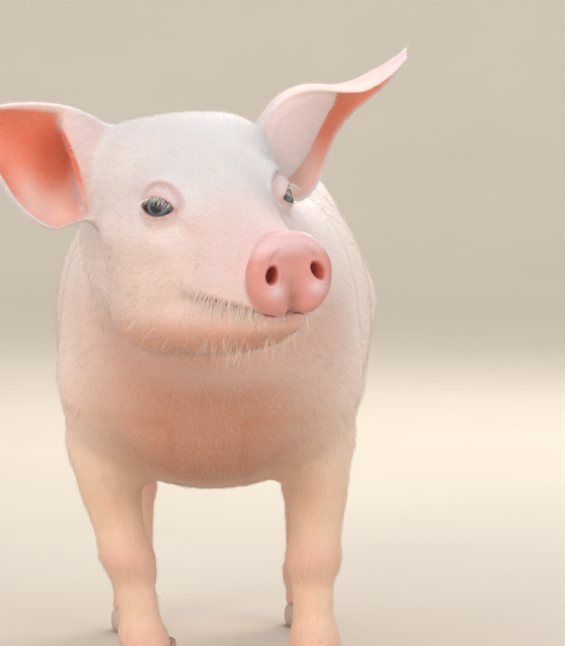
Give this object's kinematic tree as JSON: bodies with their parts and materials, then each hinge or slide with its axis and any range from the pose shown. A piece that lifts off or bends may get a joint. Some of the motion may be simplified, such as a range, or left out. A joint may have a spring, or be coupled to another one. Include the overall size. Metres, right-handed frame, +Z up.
{
  "type": "piglet",
  "caption": "still life-size model of a young pink pig, standing with its head turned to its left and its ears spread, with flat snout, cloven feet and a curled tail",
  "frame": {"origin": "under the middle of the pig's bounding box, on the floor that its claws stand on", "axes": "the pig faces -Y, its own left side is +X and +Z is up; its length lies along Y"},
  "size_m": [0.2532, 0.5958, 0.3693],
  "materials": {
    "skin": "soft pale pink skin under short white bristle, satin",
    "snout_skin": "bare moist pink skin",
    "eye": "wet glossy eyeball, blue-grey iris",
    "horn": "pale horn, worn satin"
  },
  "bodies": {
    "root": {"head": "skin", "lower_jaw": "skin", "neck": "skin", "torso": "skin", "tail": "skin", "ear_left": "skin", "ear_right": "skin", "leg_front_left": "skin", "leg_front_right": "skin", "leg_hind_left": "skin", "leg_hind_right": "skin", "snout": "snout_skin", "eye_left": "eye", "eye_right": "eye", "claw_outer_front_left": "horn", "dewclaw_outer_front_left": "horn", "claw_inner_front_left": "horn", "dewclaw_inner_front_left": "horn", "claw_outer_front_right": "horn", "dewclaw_outer_front_right": "horn", "claw_inner_front_right": "horn", "dewclaw_inner_front_right": "horn", "claw_outer_hind_left": "horn", "dewclaw_outer_hind_left": "horn", "claw_inner_hind_left": "horn", "dewclaw_inner_hind_left": "horn", "claw_outer_hind_right": "horn", "dewclaw_outer_hind_right": "horn", "claw_inner_hind_right": "horn", "dewclaw_inner_hind_right": "horn"}
  },
  "joints": []
}
